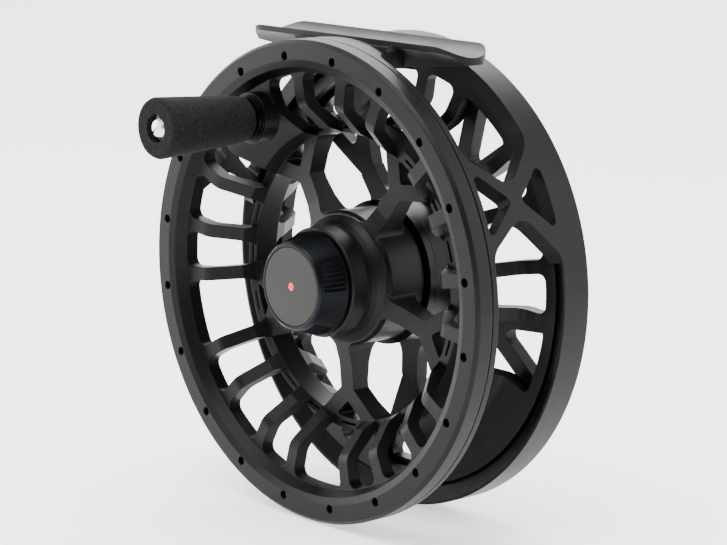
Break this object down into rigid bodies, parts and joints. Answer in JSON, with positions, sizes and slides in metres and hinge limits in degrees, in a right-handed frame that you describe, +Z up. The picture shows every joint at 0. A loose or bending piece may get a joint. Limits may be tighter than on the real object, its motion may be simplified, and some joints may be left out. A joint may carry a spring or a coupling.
{
  "type": "fly fishing reel",
  "caption": "Caged large-arbor fly reel with ported spool, tapered handle, quick-release knob, sealed disc drag with rear drag knob and a saddle foot for the rod's reel seat.",
  "frame": {"origin": "middle of the reel foot's saddle, at its lowest line", "axes": "+Z up out of the saddle towards the rod, +X along the foot and the rod, -Y the handle side; the spool's axis is parallel to Y, 49 mm below the origin"},
  "size_m": [0.1016, 0.0663, 0.102],
  "materials": {
    "anodised_charcoal": "satin",
    "anodised_black": "satin",
    "badge_grey": "satin",
    "red_enamel": "gloss",
    "black_foam": "matte",
    "bright_steel": "satin",
    "bearing_steel": "gloss",
    "brass": "satin",
    "drag_composite": "matte",
    "plain_bearing": "matte",
    "seal_rubber": "matte"
  },
  "bodies": {
    "frame_body": {"frame": "anodised_charcoal", "spindle": "bright_steel", "spindle_nut": "bright_steel", "housing_cover": "anodised_black", "cover_screws": "bright_steel", "housing_seal": "seal_rubber", "front_drag_washer": "drag_composite", "rear_drag_washer": "drag_composite", "backing_plate": "bright_steel", "spring_washers": "bright_steel", "spool_click_spring": "bright_steel", "pressure_plate": "bright_steel", "push_pins": "bright_steel", "thrust_washer": "brass"},
    "spool_body": {"spool": "anodised_charcoal", "front_bearing": "bearing_steel", "rear_bearing": "bearing_steel", "bearing_spacer": "plain_bearing", "bearing_clip": "bright_steel", "spool_latch": "bright_steel", "drive_hub": "bright_steel", "clutch_rollers": "bearing_steel", "handle_post": "bright_steel", "handle_screw": "bright_steel", "handle_end_washer": "bright_steel", "handle_washers": "anodised_black"},
    "grip_body": {"handle_grip": "black_foam", "handle_sleeve": "plain_bearing"},
    "release_knob": {"spool_knob": "anodised_black", "knob_badge": "badge_grey", "badge_dot": "red_enamel"},
    "drag_rotor_body": {"drag_rotor": "bright_steel", "clutch_cup": "bearing_steel"},
    "drag_knob_body": {"drag_knob": "anodised_black", "drag_knob_insert": "brass", "drag_knob_cap": "badge_grey", "drag_press_ring": "brass"},
    "click_ball": {"spool_click_ball": "bearing_steel"}
  },
  "joints": [
    {"name": "spool_spin", "type": "hinge", "parent": "frame_body", "child": "spool_body", "pos_m": [0, 0, -0.049], "axis": [0, 1, 0], "continuous": true},
    {"name": "grip_spin", "type": "hinge", "parent": "spool_body", "child": "grip_body", "pos_m": [-0.0189, -0.03, -0.01626], "axis": [0, 1, 0], "continuous": true},
    {"name": "release_knob_turn", "type": "hinge", "parent": "spool_body", "child": "release_knob", "pos_m": [0, -0.018, -0.049], "axis": [0, 1, 0], "range_deg": [0, 90]},
    {"name": "drag_slip", "type": "hinge", "parent": "frame_body", "child": "drag_rotor_body", "pos_m": [0, 0.008, -0.049], "axis": [0, 1, 0], "continuous": true},
    {"name": "drag_turn", "type": "hinge", "parent": "frame_body", "child": "drag_knob_body", "pos_m": [0, 0.02, -0.049], "axis": [0, -1, 0], "range_deg": [-144, 144]},
    {"name": "click_ball_slide", "type": "slide", "parent": "frame_body", "child": "click_ball", "axis": [0, 1, 0], "range_m": [0, 0.0005], "stiffness_N_per_m": 300, "springref_m": -0.001}
  ]
}
